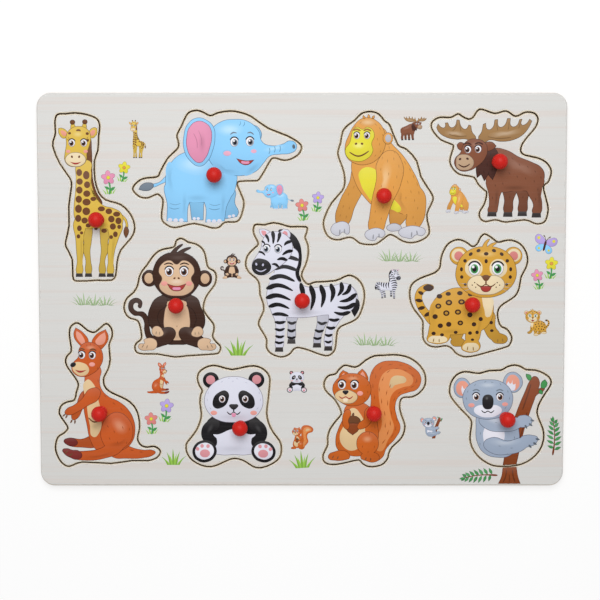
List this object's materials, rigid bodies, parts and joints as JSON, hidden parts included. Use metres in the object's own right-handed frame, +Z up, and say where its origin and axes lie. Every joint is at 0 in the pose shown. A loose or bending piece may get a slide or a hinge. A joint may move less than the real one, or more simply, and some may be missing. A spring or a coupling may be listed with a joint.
{
  "type": "peg puzzle",
  "caption": "Flat wooden peg puzzle: animal-shaped pieces sit flush in matching recesses of a printed board, each lifted straight up by a round knob.",
  "frame": {"origin": "centre of the board's underside", "axes": "+X along the board's length, +Y towards the upper edge of the picture, +Z up through the knobs"},
  "size_m": [0.3, 0.224, 0.0181],
  "materials": {
    "plain_wood": "bare sanded plywood",
    "printed_wood": "pale printed face with a satin clear coat over plywood, scorched brown cut edges",
    "red_plastic": "glossy",
    "bright_steel": "bright zinc plating"
  },
  "bodies": {
    "board": {"backing_board": "plain_wood", "frame_board": "printed_wood"},
    "giraffe": {"giraffe_piece": "printed_wood", "giraffe_knob": "red_plastic", "giraffe_screw": "bright_steel"},
    "elephant": {"elephant_piece": "printed_wood", "elephant_knob": "red_plastic", "elephant_screw": "bright_steel"},
    "gorilla": {"gorilla_piece": "printed_wood", "gorilla_knob": "red_plastic", "gorilla_screw": "bright_steel"},
    "moose": {"moose_piece": "printed_wood", "moose_knob": "red_plastic", "moose_screw": "bright_steel"},
    "monkey": {"monkey_piece": "printed_wood", "monkey_knob": "red_plastic", "monkey_screw": "bright_steel"},
    "zebra": {"zebra_piece": "printed_wood", "zebra_knob": "red_plastic", "zebra_screw": "bright_steel"},
    "leopard": {"leopard_piece": "printed_wood", "leopard_knob": "red_plastic", "leopard_screw": "bright_steel"},
    "kangaroo": {"kangaroo_piece": "printed_wood", "kangaroo_knob": "red_plastic", "kangaroo_screw": "bright_steel"},
    "panda": {"panda_piece": "printed_wood", "panda_knob": "red_plastic", "panda_screw": "bright_steel"},
    "squirrel": {"squirrel_piece": "printed_wood", "squirrel_knob": "red_plastic", "squirrel_screw": "bright_steel"},
    "koala": {"koala_piece": "printed_wood", "koala_knob": "red_plastic", "koala_screw": "bright_steel"}
  },
  "joints": [
    {"name": "giraffe_lift", "type": "slide", "parent": "board", "child": "giraffe", "axis": [0, 0, 1], "range_m": [0, 0.03]},
    {"name": "elephant_lift", "type": "slide", "parent": "board", "child": "elephant", "axis": [0, 0, 1], "range_m": [0, 0.03]},
    {"name": "gorilla_lift", "type": "slide", "parent": "board", "child": "gorilla", "axis": [0, 0, 1], "range_m": [0, 0.03]},
    {"name": "moose_lift", "type": "slide", "parent": "board", "child": "moose", "axis": [0, 0, 1], "range_m": [0, 0.03]},
    {"name": "monkey_lift", "type": "slide", "parent": "board", "child": "monkey", "axis": [0, 0, 1], "range_m": [0, 0.03]},
    {"name": "zebra_lift", "type": "slide", "parent": "board", "child": "zebra", "axis": [0, 0, 1], "range_m": [0, 0.03]},
    {"name": "leopard_lift", "type": "slide", "parent": "board", "child": "leopard", "axis": [0, 0, 1], "range_m": [0, 0.03]},
    {"name": "kangaroo_lift", "type": "slide", "parent": "board", "child": "kangaroo", "axis": [0, 0, 1], "range_m": [0, 0.03]},
    {"name": "panda_lift", "type": "slide", "parent": "board", "child": "panda", "axis": [0, 0, 1], "range_m": [0, 0.03]},
    {"name": "squirrel_lift", "type": "slide", "parent": "board", "child": "squirrel", "axis": [0, 0, 1], "range_m": [0, 0.03]},
    {"name": "koala_lift", "type": "slide", "parent": "board", "child": "koala", "axis": [0, 0, 1], "range_m": [0, 0.03]}
  ]
}
